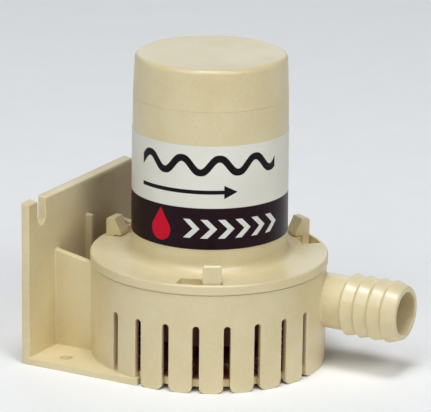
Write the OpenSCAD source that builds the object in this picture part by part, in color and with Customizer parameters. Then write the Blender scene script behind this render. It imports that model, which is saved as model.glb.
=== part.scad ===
// Submersible bilge pump: a strainer base with a hose outlet and a wall bracket in one
// moulding, and a sealed motor cartridge that twists into three hooks on top of it.
// Frame: +Z up, origin on the pump axis in the plane that the base stands on,
// +X along the hose outlet, bracket wall on the -X side. Millimetres.

/* [Strainer base] */
// Outer radius of the strainer skirt
base_r = 38.4; // [38.3:0.05:38.6]
// Wall thickness of the skirt
skirt_t = 2.3; // [2:0.1:2.6]
// Height of the joint face that the cartridge sits on
deck_z = 32.8; // [32.6:0.1:33.2]
// Width of one strainer slot
slot_w = 2.2; // [1.8:0.1:2.6]
// Height of the rounded top of the slots
slot_top = 22.4; // [20:0.2:23]
// Angle from one slot to the next
slot_pitch = 15; // [15]
// Corner radius at the feet of the bars
bar_foot_r = 2.2; // [1:0.1:2.4]

/* [Bracket] */
// Distance from the pump axis to the inner face of the bracket wall
wall_x = 45.2; // [44:0.1:47]
// Thickness of the bracket wall
wall_t = 2.8; // [2.4:0.1:3.2]
// Height of the bracket wall
wall_h = 54.5; // [50:0.5:60]
// Thickness of the foot plate
foot_t = 2.3; // [2:0.1:2.6]
// Distance between the two foot screw holes
foot_hole_pitch = 62.8; // [62:0.2:64]
// Radius of the foot screw holes
foot_hole_r = 2.15; // [2:0.05:2.4]
// Distance between the two open slots in the top of the wall
wall_slot_pitch = 61; // [60:0.5:64]
// Width of the open slots in the top of the wall
wall_slot_w = 4.7; // [4.6:0.1:5.6]

/* [Hose outlet] */
// Radius of the outlet bore
outlet_bore_r = 7; // [6.8:0.1:7.2]
// Sideways distance from the pump axis to the outlet axis
outlet_y = 14; // [13.8:0.1:14.2]
// Height of the outlet axis
outlet_z = 21.1; // [21:0.1:21.2]
// Distance from the pump axis to the end of the outlet
outlet_end = 64.6; // [64:0.2:70]
// Radius of the hose barb crests
crest_r = 10.25; // [10:0.05:10.5]
// Distance from one barb crest to the next
crest_pitch = 4.82; // [4.6:0.02:4.9]

/* [Motor cartridge] */
// Height of the top of the motor housing
total_h = 102.4; // [102:0.2:104]
// Radius of the locking flange
flange_r = 38.8; // [38.7:0.1:39]
// Radius of the motor housing where it meets the flange
can_r = 25.35; // [25.3:0.05:25.5]
// Radius of the motor housing just under the edge of the cap
cap_r = 24.6; // [24.4:0.1:24.8]
// Height of the glued joint between motor housing and cap
cap_z = 88.9; // [88.5:0.1:89.2]
// Angle that unlocks the cartridge
unlock_angle = 12.5; // [12:0.1:12.6]

/* [Motor] */
// Radius of the steel motor can
motor_r = 19; // [19]
// Radius of the shaft
shaft_r = 2; // [2]
// Radius of the impeller
impeller_r = 17; // [16:0.2:17.2]

/* [Hidden] */
$fn = 96;
eps = 0.01;

// Colours
ivory = [0.86, 0.82, 0.67];
label_white = [0.90, 0.90, 0.88];
rubber_black = [0.10, 0.10, 0.11];
steel = [0.70, 0.71, 0.73];
zinc = [0.60, 0.62, 0.64];
ferrite = [0.22, 0.21, 0.22];
bronze = [0.62, 0.46, 0.26];
copper = [0.78, 0.44, 0.26];
brass = [0.80, 0.66, 0.32];
carbon = [0.16, 0.15, 0.15];
resin = [0.16, 0.22, 0.20];

// Strainer base
skirt_inner_r = base_r - skirt_t;
deck_t = 2.5;
deck_bottom = deck_z - deck_t;
plate_z = 1.6;
plate_t = 2.7;
plate_top = plate_z + plate_t;
front_slots = [for (i = [0:7]) -slot_pitch * (i + 0.5)];
back_slots = [for (i = [3:7]) slot_pitch * (i + 0.5)];
slot_angles = concat(front_slots, back_slots);

// Volute
volute_floor_bottom = 10;
volute_floor = 12.2;
volute_wall = 2.2;
volute_start_r = 18.6;
volute_end_r = outlet_y + outlet_bore_r;
volute_start_angle = 35;
volute_end_angle = -270;
eye_r = 8;
eye_collar_z = 8.2;
seat_r = 24;
seat_z = 28;
screw_circle_r = 14;
screw_angles = [30, 150, 270];
screw_r = 1.45;
screw_top = 11;

// Bracket
foot_edge_y = base_r;
foot_end_x = -5.1;
foot_hole_x = -35.4;
web_y = 22;
web_t = 2.3;
web_wall_z = 35;
web_base_z = 32.3;
rib_t = 1.8;
rib_y = -1.7;
rib_out = 2.15;
rib_h = 42;
wall_slot_depth = 9;
wall_top_fall = 0.6;

// Hose outlet
stem_r = 8.9;
valley_r = 9.2;
barb_rise = 0.9;
last_crest_x = outlet_end - 4.45;
crest_count = 4;
outlet_lip_r = 8.8;
outlet_mouth_x = 19;
outlet_mouth_r = outlet_bore_r + 0.3;

// Bayonet: three hooks on the base and three slots in the flange
hook_angles = [-60, 60, 180];
hook_half = 4.65;
hook_outer_r = 37.25;
hook_post_r = 34.4;
hook_nose_r = 31.9;
hook_top = 42.3;
bayonet_slot_outer_r = 37.6;
bayonet_wide_r = 31.6;
bayonet_narrow_r = 34.1;
bayonet_back = hook_half + 0.5;
bayonet_front = hook_half + unlock_angle + 0.65;

// Motor cartridge
seam_gap = 0.1;
flange_bottom = deck_z + seam_gap;
flange_top = 36.2;
can_t = 2.2;
can_fillet = 3;
joint_r = 25.1;
cap_edge_r = 1.9;
cap_t = 2.4;
spigot_r = seat_r - 0.3;
spigot_bottom = seat_z + 0.3;
spigot_inner_r = 20.4;
spigot_floor = 30.8;
groove_z = 30.4;
groove_h = 2.4;
groove_r = 22;
o_ring_wire_r = 0.85;
o_ring_r = 23;
seal_bore_r = 7;
seal_boss_r = 10;
seal_z = 29;
seal_h = 4.2;
can_draft = (can_r - joint_r) / (cap_z - flange_top);
label_bottom = 44;
label_top = 78;
label_t = 0.12;
glue_t = 0.05;

// Cable gland on the back of the cap
gland_z = 93.6;
gland_r = 4.2;
gland_end = 30.5;
gland_bore_r = 2.75;
gland_seal_r = 3.4;
nut_flats = 10;

// Motor
motor_bottom = 36.2;
motor_top = 88;
motor_wall = 1;
bearing_boss_bottom = 33.9;
bush_r = 4.5;
bush_clearance = 0.03;
lower_bush_top = 38.6;
upper_bush_bottom = 86.7;
upper_bush_top = 91;
shaft_bottom = 15.5;
shaft_top = 90.6;
magnet_bottom = 44;
magnet_top = 74;
magnet_inner_r = 14.3;
magnet_arc = 128;
core_r = 13.8;
core_bottom = 46;
core_top = 71;
pole_count = 5;
commutator_r = 5.5;
commutator_hub_r = 3.9;
commutator_bottom = 77.6;
commutator_top = 85.2;
brush_z = 81.5;
brush_w = 4.4;
brush_h = 5.6;
brush_face_x = commutator_r + 0.3;
brush_back_x = 12.3;
guide_wall = 1.1;
guide_end_x = 16.5;
spring_coil_r = 1.6;
spring_wire_r = 0.22;

// Impeller
vane_count = 6;
vane_t = 1.3;
vane_sweep = 52;
vane_bottom = 14;
shroud_bottom = 24.4;
shroud_top = 26;

// ---------------------------------------------------------------- helpers

// Radius of the drafted motor housing at a height
function can_r_at(z) = can_r - can_draft * (z - flange_top);

// Points on a circle of radius r round [cx, cy], from angle a0 to a1 in n steps
function arc(cx, cy, r, a0, a1, n = 8) =
    [for (i = [0:n]) let(a = a0 + (a1 - a0) * i / n) [cx + r * cos(a), cy + r * sin(a)]];

// A ring of the given radii between two heights
module ring(inner_r, outer_r, bottom, top) {
    translate([0, 0, bottom])
        difference() {
            cylinder(r = outer_r, h = top - bottom);
            translate([0, 0, -1]) cylinder(r = inner_r, h = top - bottom + 2);
        }
}

// A box from one corner to the opposite one
module block(low, high) {
    translate(low) cube(high - low);
}

// A rod along +X from x0 to x1
module rod_x(r, x0, x1, y = 0, z = 0) {
    translate([x0, y, z]) rotate([0, 90, 0]) cylinder(r = r, h = x1 - x0);
}

// A rod along +Y from y0 to y1
module rod_y(r, y0, y1, x = 0, z = 0) {
    translate([x, y0, z]) rotate([-90, 0, 0]) cylinder(r = r, h = y1 - y0);
}

// Children copied to each angle of a list
module at_angles(angles) {
    for (a = angles) rotate([0, 0, a]) children();
}

// Children and their mirror image across the XZ plane
module both_sides() {
    children();
    mirror([0, 1, 0]) children();
}

// ---------------------------------------------------------------- strainer base

// Cutter for one strainer slot, across the skirt on the +X side: round at the top,
// flared at the foot so that the bars end in round corners
module slot_cutter() {
    half = slot_w / 2;
    round_z = slot_top - half;
    outline = concat(
        [[-half - bar_foot_r, -1], [half + bar_foot_r, -1]],
        arc(half + bar_foot_r, bar_foot_r, bar_foot_r, 270, 180, 6),
        arc(0, round_z, half, 0, 180, 10),
        arc(-half - bar_foot_r, bar_foot_r, bar_foot_r, 360, 270, 6)
    );
    translate([skirt_inner_r - 2, 0, 0])
        rotate([90, 0, 90])
            linear_extrude(height = skirt_t + 4)
                polygon(outline);
}

// Outline of the volute, grown outwards by a margin: its radius rises steadily
// clockwise from the tongue to the outlet
module volute_outline(margin) {
    steps = 60;
    polygon([
        for (i = [0:steps])
            let(
                t = i / steps,
                a = volute_start_angle + (volute_end_angle - volute_start_angle) * t,
                r = volute_start_r + (volute_end_r - volute_start_r) * t + margin
            )
            [r * cos(a), r * sin(a)]
    ]);
}

// Outside of the outlet: a plain stem and four hose barbs, as a half profile turned
// round the outlet axis
module outlet_outside() {
    first_crest_x = last_crest_x - crest_pitch * (crest_count - 1);
    barbs = [
        for (i = [0:crest_count - 1])
            let(x = first_crest_x + crest_pitch * i)
            each [[i == 0 ? stem_r : valley_r, x - barb_rise], [crest_r, x]]
    ];
    outline = concat(
        [[0, 18], [stem_r, 18]],
        barbs,
        [[outlet_lip_r, outlet_end - 0.3], [outlet_lip_r - 0.3, outlet_end], [0, outlet_end]]
    );
    translate([0, outlet_y, outlet_z])
        rotate([0, 90, 0])
            rotate_extrude()
                polygon(outline);
}

// One bayonet hook at angle 0: a post with a nose that points inwards over the flange
module hook() {
    edge = 0.6;
    nose_z = flange_top + 0.3;
    outline = [
        [hook_post_r, deck_z - 1],
        [hook_outer_r, deck_z - 1],
        [hook_outer_r, hook_top - edge],
        [hook_outer_r - edge, hook_top],
        [hook_post_r, hook_top],
        [hook_nose_r, nose_z + 1.1],
        [hook_nose_r, nose_z],
        [hook_post_r, nose_z]
    ];
    rotate([0, 0, -hook_half])
        rotate_extrude(angle = 2 * hook_half)
            polygon(outline);
}

// One side web between the bracket wall and the skirt, with its sloping top edge
module web() {
    outline = [
        [-wall_x - 1, 0],
        [-skirt_inner_r + 8, 0],
        [-skirt_inner_r + 8, web_base_z],
        [-sqrt(base_r * base_r - web_y * web_y) + 0.8, web_base_z],
        [-wall_x, web_wall_z],
        [-wall_x - 1, web_wall_z]
    ];
    translate([0, -web_y + web_t, 0])
        rotate([90, 0, 0])
            linear_extrude(height = web_t)
                polygon(outline);
}

// Open slot in the top edge of the bracket wall
module wall_slot_cutter() {
    half = wall_slot_w / 2;
    y = -wall_slot_pitch / 2;
    bottom = wall_h - wall_slot_depth + half;
    rod_x(half, -wall_x - wall_t - 1, -wall_x + 1, y, bottom);
    block([-wall_x - wall_t - 1, y - half, bottom], [-wall_x + 1, y + half, wall_h + 1]);
}

// Bracket wall, its top edge falling slightly towards the pump
module bracket_wall() {
    outline = [
        [-wall_x - wall_t, 0], [-wall_x, 0], [-wall_x, wall_h - wall_top_fall],
        [-wall_x - wall_t, wall_h]
    ];
    translate([0, foot_edge_y, 0])
        rotate([90, 0, 0])
            linear_extrude(height = 2 * foot_edge_y)
                polygon(outline);
}

// Bracket: wall, foot plate, webs and rib, clear of the inside of the skirt
module bracket() {
    difference() {
        union() {
            bracket_wall();
            block([-wall_x - 1, -foot_edge_y, 0], [foot_end_x, foot_edge_y, foot_t]);
            block([-wall_x - 1, rib_y - rib_t / 2, 0], [-wall_x + rib_out, rib_y + rib_t / 2, rib_h]);
            both_sides() web();
        }
        both_sides() wall_slot_cutter();
        both_sides()
            translate([foot_hole_x, -foot_hole_pitch / 2, -1])
                cylinder(r = foot_hole_r, h = foot_t + 2);
        translate([0, 0, -1]) cylinder(r = skirt_inner_r + 0.1, h = wall_h);
    }
}

// Skirt with its slots and its deck
module skirt() {
    difference() {
        ring(skirt_inner_r, base_r, 0, deck_z);
        at_angles(slot_angles) slot_cutter();
    }
    ring(seat_r, base_r, deck_bottom, deck_z);
}

// Outside of the volute, its inlet collar and the screw posts under it
module volute_outside() {
    translate([0, 0, volute_floor_bottom])
        linear_extrude(height = deck_z - volute_floor_bottom)
            volute_outline(volute_wall);
    translate([0, 0, seat_z - 2])
        cylinder(r = seat_r + volute_wall, h = deck_z - seat_z + 2);
    translate([0, 0, eye_collar_z])
        cylinder(r = eye_r + 1.8, h = volute_floor - eye_collar_z);
    at_angles(screw_angles)
        translate([screw_circle_r, 0, plate_top])
            cylinder(r = 3, h = volute_floor - plate_top);
}

// Water space inside the volute, with the inlet eye and the cartridge seat
module volute_inside() {
    translate([0, 0, volute_floor])
        linear_extrude(height = seat_z - volute_floor + eps)
            volute_outline(0);
    translate([0, 0, seat_z])
        cylinder(r = seat_r, h = deck_z);
    translate([0, 0, eye_collar_z - 1])
        cylinder(r = eye_r, h = volute_floor);
    at_angles(screw_angles)
        translate([screw_circle_r, 0, plate_top - 1])
            cylinder(r = screw_r, h = screw_top + 0.3 - plate_top + 1);
}

// Strainer base moulding: skirt, volute, outlet, bracket and hooks in one piece
module base_housing() {
    color(ivory) {
        difference() {
            union() {
                skirt();
                volute_outside();
                intersection() {
                    outlet_outside();
                    block([0, -50, -50], [outlet_end + 1, 60, 60]);
                }
                bracket();
            }
            volute_inside();
            rod_x(outlet_mouth_r, 0, outlet_mouth_x, outlet_y, outlet_z);
            rod_x(outlet_bore_r, outlet_mouth_x - eps, outlet_end + 1, outlet_y, outlet_z);
        }
        at_angles(hook_angles) hook();
    }
}

// Round plate that closes the underside of the strainer, with radial inlet slots
module strainer_plate() {
    color(ivory)
        difference() {
            translate([0, 0, plate_z]) cylinder(r = skirt_inner_r - 0.15, h = plate_t);
            at_angles([for (i = [0:23]) 15 * i])
                block([21, -1, plate_z - 1], [32, 1, plate_top + 1]);
            at_angles(screw_angles)
                translate([screw_circle_r, 0, plate_z - 1]) {
                    cylinder(r = screw_r + 0.15, h = plate_t + 2);
                    cylinder(r1 = 3.8, r2 = 1.5, h = 2.3);
                }
        }
}

// Three countersunk screws that hold the strainer plate, one group
module strainer_screws() {
    color(steel)
        at_angles(screw_angles)
            translate([screw_circle_r, 0, 0])
                difference() {
                    union() {
                        translate([0, 0, plate_z]) cylinder(r1 = 2.7, r2 = screw_r, h = 1.3);
                        translate([0, 0, plate_z]) cylinder(r = screw_r, h = screw_top - plate_z);
                    }
                    block([-0.35, -1.9, plate_z - 1], [0.35, 1.9, plate_z + 0.7]);
                    block([-1.9, -0.35, plate_z - 1], [1.9, 0.35, plate_z + 0.7]);
                }
}

// ---------------------------------------------------------------- motor cartridge

// Bayonet slot in the flange for a hook at angle 0: wide enough for the nose on its
// clockwise part, narrow under the locked hook
module bayonet_slot() {
    outline = concat(
        arc(0, 0, bayonet_slot_outer_r, -bayonet_front, bayonet_back, 10),
        arc(0, 0, bayonet_narrow_r, bayonet_back, -hook_half - 0.3, 5),
        arc(0, 0, bayonet_wide_r, -hook_half - 2, -bayonet_front, 6)
    );
    translate([0, 0, flange_bottom - 1])
        linear_extrude(height = flange_top - flange_bottom + 2)
            polygon(outline);
}

// Outside of the motor housing as a half profile: spigot, flange, fillet, drafted can
module housing_outside() {
    edge = 0.7;
    outline = concat(
        [[0, spigot_bottom], [spigot_r, spigot_bottom], [spigot_r, flange_bottom]],
        [[flange_r - 0.3, flange_bottom], [flange_r, flange_bottom + 0.3]],
        arc(flange_r - edge, flange_top - edge, edge, 0, 90, 5),
        arc(can_r + can_fillet, flange_top + can_fillet, can_fillet, 270, 180, 7),
        [[joint_r, cap_z], [0, cap_z]]
    );
    rotate_extrude() polygon(outline);
}

// Inside of the motor housing: motor space, and the seal bore through the floor
module housing_inside() {
    outline = [
        [0, seal_z], [seal_bore_r, seal_z], [seal_bore_r, motor_bottom - 0.05],
        [seal_boss_r, motor_bottom - 0.05], [seal_boss_r, spigot_floor],
        [spigot_inner_r, spigot_floor], [spigot_inner_r, flange_top - 1],
        [can_r - can_t, flange_top + 2], [joint_r - can_t, cap_z + 1], [0, cap_z + 1]
    ];
    rotate_extrude() polygon(outline);
    translate([0, 0, spigot_bottom - 1]) cylinder(r = shaft_r + 1, h = 3);
    ring(groove_r, spigot_r + 1, groove_z - groove_h / 2, groove_z + groove_h / 2);
}

// Motor housing moulding, with ribs inside that centre the motor
module motor_housing() {
    rib_bottom = groove_z + groove_h / 2 + 0.4;
    rib_top = 84;
    color(ivory) {
        difference() {
            housing_outside();
            housing_inside();
            at_angles(hook_angles) bayonet_slot();
        }
        intersection() {
            at_angles([for (i = [0:5]) 60 * i + 30])
                block([motor_r + 0.05, -1, rib_bottom], [can_r, 1, rib_top]);
            cylinder(r = joint_r - can_t + 0.5, h = rib_top);
        }
    }
}

// Cap glued into the top of the motor housing, with the cable gland boss at its back
module top_cap() {
    cap_in_r = joint_r - can_t - 0.1;
    cap_in_bottom = cap_z - 4;
    shoulder_z = total_h - cap_edge_r;
    outline = concat(
        [[joint_r, cap_z], [cap_r, shoulder_z]],
        arc(cap_r - cap_edge_r, shoulder_z, cap_edge_r, 0, 90, 7),
        [
            [0, total_h], [0, total_h - cap_t], [cap_in_r - 2, total_h - cap_t],
            [cap_in_r - 2, cap_in_bottom], [cap_in_r, cap_in_bottom], [cap_in_r, cap_z]
        ]
    );
    color(ivory)
        difference() {
            union() {
                rotate_extrude() polygon(outline);
                rod_y(gland_r, joint_r - 4, gland_end, 0, gland_z);
            }
            rod_y(gland_bore_r, joint_r - 6, gland_end + 1, 0, gland_z);
            rod_y(gland_seal_r, gland_end - 4, gland_end + 1, 0, gland_z);
        }
}

// Wrap label, open at the back where its ends meet
module label() {
    gap = 3;
    bottom_r = can_r_at(label_bottom) + glue_t;
    top_r = can_r_at(label_top) + glue_t;
    outline = [
        [bottom_r, label_bottom], [bottom_r + label_t, label_bottom],
        [top_r + label_t, label_top], [top_r, label_top]
    ];
    color(label_white)
        rotate([0, 0, 120 + gap / 2])
            rotate_extrude(angle = 360 - gap)
                polygon(outline);
}

// O-ring in the groove of the spigot
module housing_o_ring() {
    color(rubber_black)
        translate([0, 0, groove_z])
            rotate_extrude()
                translate([o_ring_r, 0])
                    circle(r = o_ring_wire_r, $fn = 32);
}

// Lip seal round the shaft in the floor of the motor housing
module shaft_seal() {
    lip_r = shaft_r + 0.05;
    top = seal_z + seal_h;
    outline = [
        [lip_r, seal_z + 0.5], [lip_r + 1, seal_z + 0.8], [lip_r + 1, top - 1.2],
        [seal_bore_r - 1.3, top - 1.2], [seal_bore_r - 1.3, seal_z], [seal_bore_r, seal_z],
        [seal_bore_r, top], [lip_r + 0.5, top], [lip_r + 0.3, seal_z + 1.4]
    ];
    color(rubber_black) rotate_extrude() polygon(outline);
}

// Garter spring that closes the lip of the shaft seal
module seal_spring() {
    color(steel)
        translate([0, 0, seal_z + 1.6])
            rotate_extrude()
                translate([shaft_r + 1.55, 0])
                    circle(r = 0.45, $fn = 24);
}

// Rubber ring that seals the cable in the gland
module gland_seal() {
    color(rubber_black)
        difference() {
            rod_y(gland_seal_r, gland_end - 4, gland_end - 0.5, 0, gland_z);
            rod_y(gland_bore_r, gland_end - 5, gland_end + 1, 0, gland_z);
        }
}

// Hexagonal nut that closes the gland
module gland_nut() {
    nut_end = gland_end + 1.8;
    nut_start = gland_end - 5;
    color(ivory)
        difference() {
            translate([0, nut_start, gland_z])
                rotate([-90, 0, 0])
                    cylinder(r = nut_flats / 2 / cos(30), h = nut_end - nut_start, $fn = 6);
            rod_y(gland_r, nut_start - 1, gland_end, 0, gland_z);
            rod_y(gland_bore_r, nut_start, nut_end + 1, 0, gland_z);
        }
}

// ---------------------------------------------------------------- motor

// Drawn steel can with the boss that holds the lower bush
module motor_can() {
    outline = [
        [bush_r, bearing_boss_bottom], [bush_r + 2.1, bearing_boss_bottom],
        [bush_r + 2.1, motor_bottom], [motor_r - 0.8, motor_bottom],
        [motor_r, motor_bottom + 0.8], [motor_r, motor_top], [motor_r - motor_wall, motor_top],
        [motor_r - motor_wall, motor_bottom + 1.2], [bush_r, motor_bottom + 1.2]
    ];
    color(zinc) rotate_extrude() polygon(outline);
}

// One arc magnet centred on angle 0
module magnet() {
    color(ferrite)
        rotate([0, 0, -magnet_arc / 2])
            rotate_extrude(angle = magnet_arc)
                translate([magnet_inner_r, magnet_bottom])
                    square([motor_r - motor_wall - magnet_inner_r - 0.05,
                            magnet_top - magnet_bottom]);
}

module magnet_left() {
    rotate([0, 0, 180]) magnet();
}

module magnet_right() {
    magnet();
}

// Two sprung steel clips that press the magnets apart, one group
module magnet_clips() {
    clip_half = 90 - magnet_arc / 2 - 1;
    color(steel)
        at_angles([90 - clip_half, 270 - clip_half])
            rotate_extrude(angle = 2 * clip_half)
                translate([motor_r - motor_wall - 0.7, magnet_bottom + 3])
                    square([0.6, magnet_top - magnet_bottom - 6]);
}

module lower_bush() {
    color(bronze)
        ring(shaft_r + bush_clearance, bush_r, bearing_boss_bottom, lower_bush_top);
}

module upper_bush() {
    color(bronze)
        ring(shaft_r + bush_clearance, bush_r, upper_bush_bottom, upper_bush_top);
}

// One brush guide box on the +X side
module brush_guide() {
    half_w = brush_w / 2 + 0.1;
    half_h = brush_h / 2 + 0.1;
    difference() {
        block([commutator_r + 1.3, -half_w - guide_wall, brush_z - half_h - guide_wall],
              [guide_end_x, half_w + guide_wall, motor_top - 2]);
        block([commutator_r, -half_w, brush_z - half_h],
              [guide_end_x - guide_wall, half_w, brush_z + half_h]);
    }
}

// End plate of the motor: holds the upper bush and the two brushes
module brush_plate() {
    plate_bottom = motor_top - 2.2;
    boss_top = upper_bush_top + 1.2;
    color(resin)
        difference() {
            union() {
                translate([0, 0, plate_bottom])
                    cylinder(r = motor_r - motor_wall - 0.05, h = motor_top - plate_bottom);
                translate([0, 0, motor_top]) cylinder(r = motor_r, h = 1.4);
                translate([0, 0, plate_bottom]) cylinder(r = 6.5, h = boss_top - plate_bottom);
                at_angles([0, 180]) brush_guide();
            }
            translate([0, 0, plate_bottom - 1])
                cylinder(r = bush_r, h = upper_bush_top - plate_bottom + 1);
            at_angles([0, 180])
                block([9, -2.5, motor_top - 1], [11, 2.5, motor_top + 2]);
        }
}

// One carbon brush on the +X side
module brush() {
    color(carbon)
        block([brush_face_x, -brush_w / 2, brush_z - brush_h / 2],
              [brush_back_x, brush_w / 2, brush_z + brush_h / 2]);
}

module brush_left() {
    rotate([0, 0, 180]) brush();
}

module brush_right() {
    brush();
}

// One coil spring behind a brush, swept along a helix round the X axis
module brush_spring() {
    turns = 4;
    per_turn = 14;
    sides = 6;
    count = turns * per_turn;
    start_x = brush_back_x + spring_wire_r + 0.02;
    end_x = guide_end_x - guide_wall - spring_wire_r - 0.02;
    function ring_points(i) = [
        for (k = [0:sides - 1])
            let(
                turn = 360 * i / per_turn,
                tube = 360 * k / sides,
                r = spring_coil_r + spring_wire_r * cos(tube)
            )
            [
                start_x + (end_x - start_x) * i / count + spring_wire_r * sin(tube),
                r * cos(turn),
                brush_z + r * sin(turn)
            ]
    ];
    points = [for (i = [0:count]) each ring_points(i)];
    side_faces = [
        for (i = [0:count - 1], k = [0:sides - 1])
            let(next = (k + 1) % sides)
            [i * sides + k, i * sides + next, (i + 1) * sides + next, (i + 1) * sides + k]
    ];
    start_face = [for (k = [sides - 1:-1:0]) k];
    end_face = [for (k = [0:sides - 1]) count * sides + k];
    polyhedron(points, concat(side_faces, [start_face, end_face]), convexity = 8);
}

// The two brush springs, one group
module brush_springs() {
    color(steel) at_angles([0, 180]) brush_spring();
}

// Two brass tabs on top of the end plate, one group
module terminals() {
    color(brass)
        at_angles([0, 180])
            difference() {
                block([9.6, -2.4, motor_top - 1], [10.4, 2.4, motor_top + 7.5]);
                rod_x(0.7, 9, 11, 0, motor_top + 5.5);
            }
}

// Rubber ring between the motor and the cap
module motor_pad() {
    color(rubber_black)
        ring(13, 18, motor_top + 1.45, total_h - cap_t - 0.05);
}

// ---------------------------------------------------------------- rotor

module shaft() {
    color(steel)
        translate([0, 0, shaft_bottom])
            difference() {
                cylinder(r = shaft_r, h = shaft_top - shaft_bottom);
                block([shaft_r - 0.4, -shaft_r, -1], [shaft_r + 1, shaft_r, 9]);
            }
}

// One winding slot of the armature between two poles, grown inwards by a margin
module winding_slot(margin) {
    half = 180 / pole_count - 9 - margin * 4;
    outline = concat(
        arc(0, 0, core_r - 1.8 - margin, -half, half, 6),
        arc(0, 0, 6.2 + margin, half * 0.35, -half * 0.35, 3)
    );
    polygon(outline);
}

// Laminated armature with five poles
module armature_core() {
    color(zinc)
        translate([0, 0, core_bottom])
            difference() {
                cylinder(r = core_r, h = core_top - core_bottom);
                translate([0, 0, -1]) cylinder(r = shaft_r, h = core_top - core_bottom + 2);
                at_angles([for (i = [0:pole_count - 1]) 360 * (i + 0.5) / pole_count])
                    translate([0, 0, -1])
                        linear_extrude(height = core_top - core_bottom + 2) {
                            winding_slot(0);
                            polygon([[core_r - 2.5, -0.8], [core_r + 1, -0.8],
                                     [core_r + 1, 0.8], [core_r - 2.5, 0.8]]);
                        }
            }
}

// Copper windings: one bundle in each slot, joined by the end turns
module windings() {
    turn_h = 4.2;
    color(copper) {
        at_angles([for (i = [0:pole_count - 1]) 360 * (i + 0.5) / pole_count])
            translate([0, 0, core_bottom - 1])
                linear_extrude(height = core_top - core_bottom + 2)
                    winding_slot(0.15);
        for (bottom = [core_bottom - turn_h, core_top])
            rotate_extrude()
                polygon([
                    [5, bottom], [10.5, bottom], [12, bottom + 1.4],
                    [12, bottom + turn_h - 1.4], [10.5, bottom + turn_h], [5, bottom + turn_h]
                ]);
    }
}

module commutator_hub() {
    color(resin) ring(shaft_r, commutator_hub_r, core_top + 4.3, commutator_top + 0.2);
}

// Five copper bars of the commutator with their risers, one group
module commutator_bars() {
    riser_bottom = commutator_bottom - 1.6;
    color(copper)
        difference() {
            union() {
                ring(commutator_hub_r, commutator_r, riser_bottom, commutator_top);
                ring(commutator_hub_r, commutator_r + 1.2, riser_bottom, commutator_bottom);
            }
            at_angles([for (i = [0:pole_count - 1]) 360 * i / pole_count])
                block([0, -0.3, riser_bottom - 1], [8, 0.3, commutator_top + 1]);
        }
}

// Brass washers beside the two bushes, one group
module thrust_washers() {
    color(brass) {
        ring(shaft_r, 4, lower_bush_top + 0.1, lower_bush_top + 0.9);
        ring(shaft_r, 4, upper_bush_bottom - 0.9, upper_bush_bottom - 0.1);
    }
}

// One impeller vane, swept back against its clockwise rotation
module vane() {
    steps = 10;
    inner_r = 6;
    outer_r = impeller_r - 0.2;
    function vane_point(i, side) =
        let(
            r = inner_r + (outer_r - inner_r) * i / steps,
            a = vane_sweep * i / steps + side * asin(vane_t / 2 / r)
        )
        [r * cos(a), r * sin(a)];
    outline = concat(
        [for (i = [0:steps]) vane_point(i, -1)],
        [for (i = [steps:-1:0]) vane_point(i, 1)]
    );
    translate([0, 0, vane_bottom])
        linear_extrude(height = shroud_bottom - vane_bottom + eps)
            polygon(outline);
}

// Semi-open impeller: hub, shroud disc and six vanes
module impeller() {
    hub_r = 4.6;
    nose_z = vane_bottom + 0.4;
    hub = [
        [0, nose_z], [hub_r - 1.6, nose_z], [hub_r - 0.5, nose_z + 0.7], [hub_r, nose_z + 2],
        [hub_r, shroud_bottom], [impeller_r, shroud_bottom], [impeller_r, shroud_top],
        [0, shroud_top]
    ];
    color(rubber_black)
        difference() {
            union() {
                rotate_extrude() polygon(hub);
                at_angles([for (i = [0:vane_count - 1]) 360 * i / vane_count]) vane();
            }
            translate([0, 0, shaft_bottom])
                difference() {
                    cylinder(r = shaft_r, h = shroud_top);
                    block([shaft_r - 0.4, -shaft_r, -1], [shaft_r + 1, shaft_r, 9]);
                }
        }
}

base_housing();
strainer_plate();
strainer_screws();
motor_housing();
top_cap();
label();
housing_o_ring();
shaft_seal();
seal_spring();
gland_seal();
gland_nut();
motor_can();
magnet_left();
magnet_right();
magnet_clips();
lower_bush();
upper_bush();
brush_plate();
brush_left();
brush_right();
brush_springs();
terminals();
motor_pad();
shaft();
armature_core();
windings();
commutator_hub();
commutator_bars();
thrust_washers();
impeller();
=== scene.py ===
"""Looks of a submersible bilge pump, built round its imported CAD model. Metres, CAD frame."""

import math

import bmesh
import bpy
from mathutils import Matrix, Vector


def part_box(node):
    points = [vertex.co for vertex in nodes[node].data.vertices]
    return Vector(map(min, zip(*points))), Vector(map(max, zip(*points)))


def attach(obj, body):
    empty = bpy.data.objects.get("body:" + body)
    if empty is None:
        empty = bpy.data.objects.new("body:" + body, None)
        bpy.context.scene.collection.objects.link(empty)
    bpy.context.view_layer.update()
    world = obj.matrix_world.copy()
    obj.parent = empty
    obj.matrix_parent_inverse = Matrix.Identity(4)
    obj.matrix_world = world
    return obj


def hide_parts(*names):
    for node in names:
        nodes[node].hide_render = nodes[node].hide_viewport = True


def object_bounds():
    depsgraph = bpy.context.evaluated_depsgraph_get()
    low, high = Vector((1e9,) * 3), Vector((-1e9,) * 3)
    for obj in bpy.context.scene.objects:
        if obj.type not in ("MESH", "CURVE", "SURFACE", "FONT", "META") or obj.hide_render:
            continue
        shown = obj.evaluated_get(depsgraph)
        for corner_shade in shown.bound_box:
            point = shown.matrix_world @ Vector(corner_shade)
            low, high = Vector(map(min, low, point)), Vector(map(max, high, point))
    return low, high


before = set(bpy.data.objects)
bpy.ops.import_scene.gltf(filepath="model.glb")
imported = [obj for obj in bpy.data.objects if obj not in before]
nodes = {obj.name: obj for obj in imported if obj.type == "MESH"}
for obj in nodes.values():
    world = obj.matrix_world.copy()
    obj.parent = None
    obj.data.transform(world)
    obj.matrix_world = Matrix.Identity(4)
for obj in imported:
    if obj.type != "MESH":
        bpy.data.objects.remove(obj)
cad_low, cad_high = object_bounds()
scene = bpy.context.scene
MM = 0.001

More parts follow.
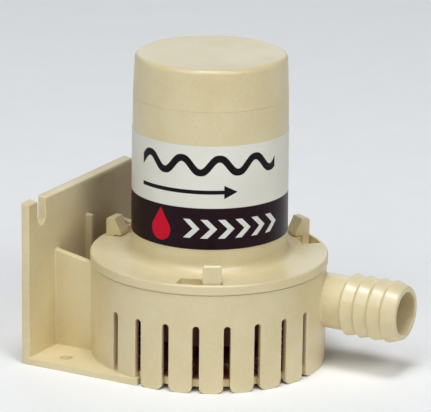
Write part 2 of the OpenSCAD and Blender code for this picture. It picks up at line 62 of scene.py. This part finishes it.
# ---------------------------------------------------------------- camera
IMAGE_WIDTH = 431
FOCAL_PIXELS = 3236
SENSOR_WIDTH = 36  # millimetres
CAMERA_AZIMUTH = math.radians(28.27)
CAMERA_ELEVATION = math.radians(16.52)
CAMERA_ROLL = math.radians(0.70)
CAMERA_DISTANCE = 1.050
CAMERA_NEAR = 0.05
CAMERA_FAR = 50
AIM_SIDEWAYS = 1.88 * MM
AIM_HEIGHT = 51.02 * MM


def add_camera():
    """Camera at the photograph's viewing angle: azimuth 0 looks along +Y."""
    level = Vector((math.cos(CAMERA_AZIMUTH), math.sin(CAMERA_AZIMUTH), 0))
    forward = Vector((
        -math.sin(CAMERA_AZIMUTH) * math.cos(CAMERA_ELEVATION),
        math.cos(CAMERA_AZIMUTH) * math.cos(CAMERA_ELEVATION),
        -math.sin(CAMERA_ELEVATION),
    ))
    above = level.cross(forward)
    right = level * math.cos(CAMERA_ROLL) + above * math.sin(CAMERA_ROLL)
    up = above * math.cos(CAMERA_ROLL) - level * math.sin(CAMERA_ROLL)
    data = bpy.data.cameras.new("camera")
    data.sensor_width = SENSOR_WIDTH
    data.lens = FOCAL_PIXELS * SENSOR_WIDTH / IMAGE_WIDTH
    data.clip_start = CAMERA_NEAR
    data.clip_end = CAMERA_FAR
    camera = bpy.data.objects.new("camera", data)
    scene.collection.objects.link(camera)
    aim = level * AIM_SIDEWAYS + Vector((0, 0, AIM_HEIGHT))
    place = Matrix((right, up, -forward)).transposed().to_4x4()
    place.translation = aim - forward * CAMERA_DISTANCE
    camera.matrix_world = place
    scene.camera = camera


# ---------------------------------------------------------------- node graphs
# Most of a noise's values lie in this range
NOISE_RANGE = (0.3, 0.7)
# Half the width of a printed edge, in millimetres
PRINT_EDGE = 0.05


class Graph:
    """A material's node tree, with short calls for the nodes that the looks need."""

    def __init__(self, name):
        self.material = bpy.data.materials.new(name)
        self.material.use_nodes = True
        self.tree = self.material.node_tree
        self.shader = self.tree.nodes["Principled BSDF"]
        self.coords = self.add("ShaderNodeTexCoord").outputs["Object"]

    def add(self, kind, **settings):
        node = self.tree.nodes.new(kind)
        for key, value in settings.items():
            setattr(node, key, value)
        return node

    def put(self, socket, value):
        """Links another node's output to the socket, or sets the socket to a plain value."""
        if isinstance(value, bpy.types.NodeSocket):
            self.tree.links.new(value, socket)
        else:
            socket.default_value = value

    def math(self, operation, a, b=0.0, c=0.0):
        node = self.add("ShaderNodeMath", operation=operation)
        for socket, value in zip(node.inputs, (a, b, c)):
            self.put(socket, value)
        return node.outputs[0]

    def minus(self, a, b):
        return self.math("SUBTRACT", a, b)

    def apart(self, a, b):
        """How far a and b are from each other, without a sign."""
        return self.math("ABSOLUTE", self.minus(a, b))

    def length(self, a, b):
        """How far the point (a, b) is from zero."""
        return self.math("SQRT", self.math("MULTIPLY_ADD", a, a, self.math("MULTIPLY", b, b)))

    def times(self, *values):
        """The product of the values; for masks, where all of them hold."""
        result = values[0]
        for value in values[1:]:
            result = self.math("MULTIPLY", result, value)
        return result

    def either(self, a, b):
        """The larger value; for masks, where at least one of them holds."""
        return self.math("MAXIMUM", a, b)

    def ramp(self, value, low, high, out_low=0.0, out_high=1.0, smooth=False):
        """Goes from out_low to out_high as the value goes from low to high, and stays there."""
        node = self.add("ShaderNodeMapRange", clamp=True)
        if smooth:
            node.interpolation_type = "SMOOTHSTEP"
        for name, number in (
            ("Value", value), ("From Min", low), ("From Max", high),
            ("To Min", out_low), ("To Max", out_high),
        ):
            self.put(node.inputs[name], number)
        return node.outputs[0]

    def zone(self, value, rise, fall):
        """Mask that fades in over the rise and out over the fall, two pairs of numbers."""
        return self.times(self.ramp(value, *rise), self.ramp(value, *fall, 1.0, 0.0))

    def below(self, value, limit):
        """Mask with a printed edge, where the value is below the limit."""
        return self.ramp(self.minus(value, limit), -PRINT_EDGE, PRINT_EDGE, 1.0, 0.0)

    def above(self, value, limit):
        """Mask with a printed edge, where the value is above the limit."""
        return self.below(limit, value)

    def between(self, value, low, high):
        """Mask with printed edges, where the value is from low to high."""
        return self.times(self.above(value, low), self.below(value, high))

    def noise(self, scale, detail, roughness, stretch=None, seed=0.0):
        """Noise from 0 to 1 over the object; scale is in cells per metre."""
        where = self.coords
        if stretch is not None:
            mapping = self.add("ShaderNodeMapping")
            self.put(mapping.inputs["Vector"], where)
            mapping.inputs["Scale"].default_value = stretch
            where = mapping.outputs["Vector"]
        node = self.add("ShaderNodeTexNoise", noise_dimensions="4D")
        self.put(node.inputs["Vector"], where)
        node.inputs["W"].default_value = seed
        node.inputs["Scale"].default_value = scale
        node.inputs["Detail"].default_value = detail
        node.inputs["Roughness"].default_value = roughness
        return node.outputs["Fac"]

    def mix(self, factor, a, b):
        """Colour a where the factor is 0 and colour b where it is 1."""
        node = self.add("ShaderNodeMix", data_type="RGBA")
        self.put(node.inputs[0], factor)
        for socket, value in ((node.inputs[6], a), (node.inputs[7], b)):
            self.put(socket, value if isinstance(value, bpy.types.NodeSocket) else (*value, 1))
        return node.outputs[2]

    def bump(self, height, distance, strength, normal=None):
        node = self.add("ShaderNodeBump")
        self.put(node.inputs["Height"], height)
        node.inputs["Distance"].default_value = distance
        node.inputs["Strength"].default_value = strength
        if normal is not None:
            self.put(node.inputs["Normal"], normal)
        return node.outputs["Normal"]

    def split(self):
        """The place's x, y and z, in metres."""
        node = self.add("ShaderNodeSeparateXYZ")
        self.put(node.inputs[0], self.coords)
        return node.outputs

    def finish(self, colour, roughness, normal=None, **constants):
        """Feeds the shader; a constant is named as its socket, with _ for each space."""
        self.put(self.shader.inputs["Base Color"], colour)
        self.put(self.shader.inputs["Roughness"], roughness)
        if normal is not None:
            self.put(self.shader.inputs["Normal"], normal)
        for name, value in constants.items():
            self.shader.inputs[name.replace("_", " ")].default_value = value
        return self.material


def srgb(red, green, blue):
    """Linear colour from 0-255 screen values."""
    def linear(c):
        c /= 255
        return c / 12.92 if c <= 0.04045 else ((c + 0.055) / 1.055) ** 2.4
    return (linear(red), linear(green), linear(blue))


def scaled(values, factor):
    return tuple(value * factor for value in values)


# ---------------------------------------------------------------- ivory plastic
IVORY = srgb(228, 212, 169)
IVORY_PALE = srgb(238, 226, 188)
IVORY_AGED = srgb(210, 190, 136)
# Painted shade colours: a brown for inside corners and the pump's shadow on the wall, a dark
# maroon inside the skirt
PAINTED_SHADE_BROWN = srgb(106, 58, 42)
PAINTED_SHADE_MAROON = srgb(160, 82, 76)

# How much of its own colour each effect mixes in, at most or from least to most; the corner, wall
# and skirt amounts are painted shade
YELLOWING = 0.55
SPECKLE = 0.22
EDGE_WEAR = 0.4
CORNER_SHADE = 0.45
SMUDGES = 0.16
WALL_SHADOW = (0.3, 0.46)
SKIRT_SHADE = (0.88, 0.97)

# Blender's pointiness is about 0.5 on a flat face, more on an edge and less in a corner
POINTY_EDGE = (0.55, 0.68)
POINTY_CORNER = (0.36, 0.458)

# Painted shade lies inside the skirt, from the strainer plate up to the deck, and fades out
# across the slots' sides
SKIRT_SHADE_RADIUS = (35.8 * MM, 38.2 * MM)
SKIRT_SHADE_STARTS = (3.9 * MM, 4.1 * MM)
SKIRT_SHADE_ENDS = (30.5 * MM, 30.8 * MM)

# A painted shadow of the pump lies on the inner face of the bracket's wall, behind the pump
WALL_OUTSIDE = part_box("base_housing")[0].x
WALL_SHADOW_STARTS = (WALL_OUTSIDE + 1.8 * MM, WALL_OUTSIDE + 2.4 * MM)
WALL_SHADOW_ENDS = (WALL_OUTSIDE + 5.4 * MM, WALL_OUTSIDE + 6.2 * MM)
WALL_SHADOW_SIDE = (-14 * MM, 8 * MM)
WALL_SHADOW_TOP = (52.5 * MM, 53.7 * MM)

# Roughness: from the polished to the plain patches, and what scuffs and the zones of painted
# shade add
POLISH = (0.29, 0.38)
SCUFFS = 0.06
SHADE_ZONE_ROUGHNESS = 0.4


def skirt_shade_mask(g, x, y, z):
    """Mask of the painted shade inside the skirt."""
    near_axis = g.ramp(g.length(x, y), *SKIRT_SHADE_RADIUS, 1.0, 0.0, smooth=True)
    return g.times(near_axis, g.zone(z, SKIRT_SHADE_STARTS, SKIRT_SHADE_ENDS))


def wall_shadow_mask(g, x, y, z):
    """Mask of the pump's painted shadow on the wall."""
    behind_pump = g.ramp(y, *WALL_SHADOW_SIDE, smooth=True)
    under_top = g.ramp(z, *WALL_SHADOW_TOP, 1.0, 0.0)
    return g.times(g.zone(x, WALL_SHADOW_STARTS, WALL_SHADOW_ENDS), g.times(behind_pump, under_top))


def ivory_colour(g, in_skirt_shade, in_wall_shadow):
    """Ivory with slow yellowing, speckle and pale worn edges; painted shade darkens inside
    corners and the inside of the skirt, and a painted shadow of the pump lies on the wall.
    """
    yellowing = g.ramp(g.noise(38, detail=3, roughness=0.55), *NOISE_RANGE, smooth=True)
    colour = g.mix(g.times(yellowing, YELLOWING), IVORY, IVORY_AGED)
    speckle = g.noise(900, detail=2, roughness=0.6, seed=3)
    colour = g.mix(g.ramp(speckle, 0.35, 0.7, 0.0, SPECKLE), colour, IVORY_PALE)
    pointiness = g.add("ShaderNodeNewGeometry").outputs["Pointiness"]
    chips = g.ramp(g.noise(420, detail=3, roughness=0.6, seed=9), 0.42, 0.62)
    worn = g.times(g.ramp(pointiness, *POINTY_EDGE), chips)
    colour = g.mix(g.times(worn, EDGE_WEAR), colour, IVORY_PALE)
    # Painted shade: darker in inside corners, where the pointiness is low
    corner_shade = g.ramp(pointiness, *POINTY_CORNER, 1.0, 0.0)
    colour = g.mix(g.times(corner_shade, CORNER_SHADE), colour, PAINTED_SHADE_BROWN)
    smudge = g.noise(110, detail=4, roughness=0.65, seed=5)
    colour = g.mix(g.ramp(smudge, 0.58, 0.8, 0.0, SMUDGES, smooth=True), colour, IVORY_AGED)
    # Painted shadow of the pump on the wall, brown with a noisy strength
    wall_shadow_tone = g.ramp(g.noise(70, detail=4, roughness=0.6, seed=17), *NOISE_RANGE, *WALL_SHADOW)
    colour = g.mix(g.times(in_wall_shadow, wall_shadow_tone), colour, PAINTED_SHADE_BROWN)
    # Painted shade: dark maroon inside the skirt
    skirt_shade_tone = g.ramp(g.noise(120, detail=4, roughness=0.6, seed=15), *NOISE_RANGE, *SKIRT_SHADE)
    return g.mix(g.times(in_skirt_shade, skirt_shade_tone), colour, PAINTED_SHADE_MAROON)


def ivory_roughness(g, in_skirt_shade, in_wall_shadow):
    """Uneven polish with scuffs, duller where shade and shadow are painted."""
    patches = g.noise(60, detail=2, roughness=0.5, seed=7)
    polish = g.ramp(patches, *NOISE_RANGE, *POLISH, smooth=True)
    streaks = g.noise(90, detail=2, roughness=0.5, stretch=(1, 5, 8), seed=4)
    scuffs = g.ramp(streaks, 0.5, 0.75, 0.0, SCUFFS, smooth=True)
    # Rougher in the zones of painted shade and painted shadow
    dirt = g.times(g.either(in_skirt_shade, in_wall_shadow), SHADE_ZONE_ROUGHNESS)
    return g.math("ADD", polish, g.either(scuffs, dirt))


def ivory_texture(g):
    """Fine moulding grain on a slow waviness."""
    grain = g.bump(g.noise(2600, detail=2, roughness=0.6, seed=1), 0.03 * MM, 0.5)
    waves = g.noise(130, detail=1, roughness=0.4, seed=2)
    return g.bump(waves, 0.25 * MM, 0.35, normal=grain)


def ivory_plastic(name):
    """Moulded ivory plastic of a pump that has been at work, with shade and a shadow painted into
    its colour.
    """
    g = Graph(name)
    x, y, z = g.split()
    in_skirt_shade = skirt_shade_mask(g, x, y, z)
    in_wall_shadow = wall_shadow_mask(g, x, y, z)
    return g.finish(
        ivory_colour(g, in_skirt_shade, in_wall_shadow),
        ivory_roughness(g, in_skirt_shade, in_wall_shadow),
        ivory_texture(g),
        Subsurface_Weight=0.12,
        Subsurface_Scale=1.2 * MM,
        Specular_IOR_Level=0.8,
    )


# ---------------------------------------------------------------- metal, rubber and resin
TARNISH = 0.6
TARNISH_SHADE = 0.7
METAL_GRAIN = 300
METAL_SPREAD = (0.75, 1.35)
MATTE_GRAIN = 500
MATTE_SHADE = 0.75
MATTE_SPREAD = (0.85, 1.15)
BRONZE = srgb(168, 124, 76)
FERRITE = srgb(62, 60, 60)
CARBON = srgb(46, 44, 44)


def plain_metal(name, colour, roughness, scale=METAL_GRAIN, stretch=(1, 1, 8)):
    """Turned, drawn or rolled metal with fine marks, uneven polish and slight tarnish."""
    g = Graph(name)
    marks = g.noise(scale, detail=4, roughness=0.65, stretch=stretch)
    tarnish = g.ramp(g.noise(scale / 4, detail=3, roughness=0.6, seed=2), 0.35, 0.75)
    mixed = g.mix(g.times(tarnish, TARNISH), colour, scaled(colour, TARNISH_SHADE))
    rough = g.ramp(marks, *NOISE_RANGE, *scaled(METAL_SPREAD, roughness))
    return g.finish(mixed, rough, g.bump(marks, 0.03 * MM, 0.4), Metallic=1.0)


def matte_solid(name, colour, roughness):
    """Rubber, ferrite, carbon or resin: fine grain, slightly uneven colour."""
    g = Graph(name)
    grain = g.noise(MATTE_GRAIN, detail=4, roughness=0.65)
    mixed = g.mix(g.ramp(grain, 0.35, 0.7), colour, scaled(colour, MATTE_SHADE))
    patches = g.noise(MATTE_GRAIN / 3, detail=3, roughness=0.5, seed=4)
    rough = g.ramp(patches, *NOISE_RANGE, *scaled(MATTE_SPREAD, roughness))
    return g.finish(mixed, rough, g.bump(grain, 0.04 * MM, 0.5))


# ---------------------------------------------------------------- label
FILM_WHITE = srgb(235, 233, 221)
FILM_AGED = srgb(227, 224, 209)
BAND_INK = srgb(28, 7, 16)
BAND_INK_PALE = srgb(38, 13, 23)
LINE_INK = srgb(20, 13, 17)
DROP_RED = srgb(208, 4, 42)
CHEVRON_WHITE = srgb(226, 226, 218)
FILM_ROUGHNESS = (0.30, 0.42)
# Ink is a little smoother than the film
INK_ROUGHNESS_STEP = -0.04

# The printed design, in millimetres round and up the housing
PER_METRE = 1000.0
LABEL_RADIUS = 25.3
LABEL_FRONT = math.radians(-61.7)
BAND_TOP = 57.6
WAVE_HEIGHT = 71.6
WAVE_AMPLITUDE = 2.3
WAVE_PERIOD = 12.2
WAVE_STROKE = 2.3
WAVE_LEFT = -25.0
WAVE_RIGHT = 23.8
ARROW_HEIGHT = 62.9
ARROW_STROKE = 1.3
ARROW_LEFT = -25.0
ARROW_RIGHT = 9.0
ARROW_HEAD = 4.4
ARROW_TAPER = 2.0
ARROW_OVERLAP = 0.2
DROP_CENTRE = (-16.6, 49.4)
DROP_RADIUS = 3.7
DROP_TIP = 7.2
CHEVRON_HEIGHT = 50.8
CHEVRON_PITCH = 5.6
CHEVRON_STROKE = 2.3
CHEVRON_HALF = 3.1
CHEVRON_LEFT = -5.4
CHEVRON_COUNT = 6


def wave_print(g, across, up):
    """Mask of the wave: a sine line, as thick on its slopes as on its crests."""
    turn = 2 * math.pi / WAVE_PERIOD
    phase = g.times(across, turn)
    crest = g.times(g.math("SINE", phase), WAVE_AMPLITUDE)
    slope = g.times(g.math("COSINE", phase), WAVE_AMPLITUDE * turn)
    steep = g.math("SQRT", g.math("MULTIPLY_ADD", slope, slope, 1.0))
    off = g.apart(g.minus(up, WAVE_HEIGHT), crest)
    line = g.below(g.math("DIVIDE", off, steep), WAVE_STROKE / 2)
    return g.times(line, g.between(across, WAVE_LEFT, WAVE_RIGHT))


def arrow_print(g, across, up):
    """Mask of the flow arrow: a line with a pointed head at its right end."""
    off = g.apart(up, ARROW_HEIGHT)
    head_start = ARROW_RIGHT - ARROW_HEAD
    line = g.times(
        g.below(off, ARROW_STROKE / 2),
        g.between(across, ARROW_LEFT, head_start + ARROW_OVERLAP),
    )
    head = g.times(
        g.below(g.math("MULTIPLY_ADD", off, ARROW_TAPER, across), ARROW_RIGHT),
        g.above(across, head_start),
    )
    return g.either(line, head)


def drop_print(g, across, up):
    """Mask of the drop: a disc with a cone standing on it."""
    side = g.apart(across, DROP_CENTRE[0])
    height = g.minus(up, DROP_CENTRE[1])
    half_angle = math.asin(DROP_RADIUS / DROP_TIP)
    cone_side = g.times(g.minus(DROP_TIP, height), math.tan(half_angle))
    cone = g.times(
        g.below(side, cone_side),
        g.above(height, DROP_RADIUS * math.sin(half_angle)),
    )
    return g.either(g.below(g.length(side, height), DROP_RADIUS), cone)


def chevron_print(g, across, up):
    """Mask of the row of chevrons."""
    off = g.apart(up, CHEVRON_HEIGHT)
    along = g.minus(g.math("ADD", across, off), CHEVRON_LEFT)
    step = g.times(g.math("FRACT", g.math("DIVIDE", along, CHEVRON_PITCH)), CHEVRON_PITCH)
    return g.times(
        g.between(step, PRINT_EDGE, CHEVRON_STROKE),
        g.between(along, 0.0, CHEVRON_PITCH * CHEVRON_COUNT),
        g.below(off, CHEVRON_HALF),
    )


def label_film(name):
    """White film with a dark band, printed with a wave, a flow arrow, a drop and chevrons."""
    g = Graph(name)
    x, y, z = g.split()
    across = g.times(g.minus(g.math("ARCTAN2", y, x), LABEL_FRONT), LABEL_RADIUS)
    up = g.times(z, PER_METRE)
    lines = g.either(wave_print(g, across, up), arrow_print(g, across, up))
    band = g.below(up, BAND_TOP)

    film_tone = g.ramp(g.noise(60, detail=3, roughness=0.5, seed=6), *NOISE_RANGE)
    ink_tone = g.ramp(g.noise(700, detail=3, roughness=0.6, seed=8), 0.35, 0.7)
    colour = g.mix(film_tone, FILM_WHITE, FILM_AGED)
    colour = g.mix(lines, colour, LINE_INK)
    colour = g.mix(band, colour, g.mix(ink_tone, BAND_INK, BAND_INK_PALE))
    colour = g.mix(g.times(drop_print(g, across, up), band), colour, DROP_RED)
    colour = g.mix(g.times(chevron_print(g, across, up), band), colour, CHEVRON_WHITE)

    smear = g.noise(90, detail=3, roughness=0.6, seed=13)
    film_roughness = g.ramp(smear, *NOISE_RANGE, *FILM_ROUGHNESS)
    ink_step = g.times(g.either(lines, band), INK_ROUGHNESS_STEP)
    roughness = g.math("ADD", film_roughness, ink_step)
    fine = g.bump(g.noise(1400, detail=2, roughness=0.5, seed=12), 0.01 * MM, 0.6)
    normal = g.bump(smear, 0.12 * MM, 0.25, normal=fine)
    return g.finish(colour, roughness, normal, Specular_IOR_Level=0.12)


# ---------------------------------------------------------------- pieces
WELD = 0.001 * MM
FLAT_ANGLE = math.radians(0.2)
SHARP_ANGLE = math.radians(35)


def piece_from(name, node, body, material):
    """A copy of a CAD node's mesh, welded into one closed skin, as a piece that stands for it."""
    mesh = nodes[node].data.copy()
    mesh.name = name
    mesh.materials.clear()
    work = bmesh.new()
    work.from_mesh(mesh)
    bmesh.ops.remove_doubles(work, verts=work.verts, dist=WELD)
    work.to_mesh(mesh)
    work.free()
    piece = bpy.data.objects.new(name, mesh)
    scene.collection.objects.link(piece)
    mesh.materials.append(material)
    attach(piece, body)
    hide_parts(node)
    return piece


def crisp(piece, width):
    """Joins flat triangles into whole faces, then gives the sharp edges a small real round.

    The width is the most that a round may have. Where rounds would overlap on a small face,
    clamp_overlap narrows all the rounds of that piece.
    """
    work = bmesh.new()
    work.from_mesh(piece.data)
    bmesh.ops.dissolve_limit(work, angle_limit=FLAT_ANGLE, verts=work.verts, edges=work.edges)
    sharp = [
        e for e in work.edges
        if len(e.link_faces) == 2 and e.calc_face_angle(0) > SHARP_ANGLE
    ]
    bmesh.ops.bevel(
        work, geom=sharp, offset=width, offset_type="OFFSET", segments=2, profile=0.5,
        affect="EDGES", clamp_overlap=True,
    )
    for face in work.faces:
        face.smooth = True
    mesh = bpy.data.meshes.new(piece.name)
    work.to_mesh(mesh)
    work.free()
    if "custom_normal" in mesh.attributes:
        mesh.attributes.remove(mesh.attributes["custom_normal"])
    mesh.materials.append(piece.data.materials[0])
    piece.data = mesh
    weighted = piece.modifiers.new("weighted_normals", "WEIGHTED_NORMAL")
    weighted.keep_sharp = True
    weighted.weight = 100


def bake_modifiers(piece):
    """Applies the piece's modifiers to its mesh."""
    shown = piece.evaluated_get(bpy.context.evaluated_depsgraph_get())
    mesh = bpy.data.meshes.new_from_object(shown)
    piece.modifiers.clear()
    piece.data = mesh


def soften(piece, voxel, keep):
    """Rounds every edge and inside corner by about one voxel, then keeps a part of the faces."""
    remesh = piece.modifiers.new("remesh", "REMESH")
    remesh.mode = "VOXEL"
    remesh.voxel_size = voxel
    smooth = piece.modifiers.new("smooth", "SMOOTH")
    smooth.factor = 0.5
    smooth.iterations = 1
    thin = piece.modifiers.new("thin", "DECIMATE")
    thin.ratio = keep
    bake_modifiers(piece)
    for polygon in piece.data.polygons:
        polygon.use_smooth = True


def add_base(material):
    base = piece_from("base_moulding", "base_housing", "base", material)
    soften(base, 0.25 * MM, keep=0.1)


def add_mouldings(material):
    """The other ivory mouldings, each with its node, its body and the most its rounds may have.

    The housing's rounds reach theirs. Clamped, the cap's come out at 0.05 mm, the strainer
    plate's at 0.06 mm and the gland nut's at 0.16 mm.
    """
    for name, node, body, widest in (
        ("motor_housing_moulding", "motor_housing", "cartridge", 0.15 * MM),
        ("cap_moulding", "top_cap", "cartridge", 0.1 * MM),
        ("strainer_plate_moulding", "strainer_plate", "base", 0.2 * MM),
        ("gland_nut_moulding", "gland_nut", "cartridge", 0.4 * MM),
    ):
        crisp(piece_from(name, node, body, material), widest)


def add_label(material):
    crisp(piece_from("wrap_label", "label", "cartridge", material), 0.02 * MM)


# ---------------------------------------------------------------- CAD nodes that stay
def finish_kept_nodes():
    """Gives every CAD node that stays its own material."""
    kept = {
        "strainer_screws": plain_metal("stainless_steel", srgb(190, 192, 196), 0.28),
        "shaft": plain_metal(
            "ground_shaft_steel", srgb(196, 198, 202), 0.18, stretch=(1, 1, 20)
        ),
        "motor_can": plain_metal("zinc_plated_can", srgb(176, 180, 184), 0.34),
        "magnet_clips": plain_metal("spring_steel", srgb(150, 152, 156), 0.3),
        "brush_springs": plain_metal("spring_wire", srgb(170, 172, 176), 0.3),
        "seal_spring": plain_metal("garter_wire", srgb(180, 182, 186), 0.25),
        "armature_core": plain_metal(
            "laminations", srgb(120, 122, 126), 0.45, scale=900, stretch=(0.1, 0.1, 3)
        ),
        "windings": plain_metal(
            "enamelled_copper", srgb(184, 96, 52), 0.35, scale=1200, stretch=(0.2, 0.2, 4)
        ),
        "commutator_bars": plain_metal("commutator_copper", srgb(200, 120, 76), 0.25),
        "terminals": plain_metal("terminal_brass", srgb(206, 170, 92), 0.3),
        "thrust_washers": plain_metal("washer_brass", srgb(196, 160, 86), 0.35),
        "lower_bush": plain_metal("lower_bush_bronze", BRONZE, 0.5, scale=900, stretch=(1, 1, 1)),
        "upper_bush": plain_metal("upper_bush_bronze", BRONZE, 0.5, scale=900, stretch=(1, 1, 1)),
        "magnet_left": matte_solid("left_ferrite", FERRITE, 0.6),
        "magnet_right": matte_solid("right_ferrite", FERRITE, 0.6),
        "brush_plate": matte_solid("brush_plate_resin", srgb(58, 44, 32), 0.45),
        "commutator_hub": matte_solid("hub_resin", srgb(52, 36, 28), 0.45),
        "brush_left": matte_solid("left_carbon", CARBON, 0.7),
        "brush_right": matte_solid("right_carbon", CARBON, 0.7),
        "housing_o_ring": matte_solid("o_ring_rubber", srgb(30, 30, 31), 0.5),
        "shaft_seal": matte_solid("seal_rubber", srgb(32, 30, 30), 0.55),
        "gland_seal": matte_solid("gland_rubber", srgb(34, 34, 34), 0.6),
        "motor_pad": matte_solid("pad_rubber", srgb(36, 36, 38), 0.7),
        "impeller": matte_solid("impeller_plastic", srgb(36, 34, 34), 0.4),
    }
    for node_name, material in kept.items():
        mesh = nodes[node_name].data
        mesh.materials.clear()
        mesh.materials.append(material)


# ---------------------------------------------------------------- floor and light
FLOOR_SIZE = 6.0
FLOOR_CELLS = 8
PAPER = (0.95, 0.94, 0.91)
PAPER_PALE = (0.97, 0.96, 0.93)
WORLD_COLOUR = (1.0, 0.80, 0.62)
WORLD_STRENGTH = 0.03
LIGHT_AIM = Vector((0, 0, 0.05))


def add_floor():
    """A plain pale paper that the pump stands on."""
    bpy.ops.mesh.primitive_grid_add(
        x_subdivisions=FLOOR_CELLS, y_subdivisions=FLOOR_CELLS, size=FLOOR_SIZE
    )
    floor = bpy.context.object
    floor.name = "floor"
    floor.location.z = cad_low.z
    g = Graph("floor_paper")
    tone = g.ramp(g.noise(60, detail=3, roughness=0.5), *NOISE_RANGE)
    g.finish(g.mix(tone, PAPER, PAPER_PALE), 0.85, Specular_IOR_Level=0.2)
    floor.data.materials.append(g.material)


def add_light(name, azimuth, elevation, distance, size, power, colour):
    """A square soft light aimed at the middle of the object; azimuth as for the camera."""
    data = bpy.data.lights.new(name, "AREA")
    data.shape = "SQUARE"
    data.size = size
    data.energy = power
    data.color = colour
    light = bpy.data.objects.new(name, data)
    scene.collection.objects.link(light)
    a, e = math.radians(azimuth), math.radians(elevation)
    back = Vector((math.sin(a) * math.cos(e), -math.cos(a) * math.cos(e), math.sin(e)))
    light.location = LIGHT_AIM + back * distance
    light.rotation_mode = "QUATERNION"
    light.rotation_quaternion = (-back).to_track_quat("-Z", "Y")


def add_world():
    """A faint warm light from all round."""
    world = bpy.data.worlds.new("studio")
    scene.world = world
    world.use_nodes = True
    background = world.node_tree.nodes["Background"]
    background.inputs["Color"].default_value = (*WORLD_COLOUR, 1)
    background.inputs["Strength"].default_value = WORLD_STRENGTH


# ---------------------------------------------------------------- the scene
ivory = ivory_plastic("ivory_plastic")
add_base(ivory)
add_mouldings(ivory)
add_label(label_film("label_film"))
finish_kept_nodes()
add_camera()
add_floor()
add_light("key", 65, 42, distance=2.2, size=0.85, power=14, colour=(0.89, 0.945, 1.0))
add_light("fill", -5, 44, distance=2.4, size=1.5, power=19.5, colour=(0.93, 0.963, 1.0))
add_light("top", 28, 77, distance=2.0, size=0.75, power=21, colour=(0.91, 0.94, 1.0))
add_light("back", 208, 20, distance=2.4, size=2.0, power=12, colour=(0.74, 0.83, 1.0))
add_world()
scene.view_settings.view_transform = "Standard"
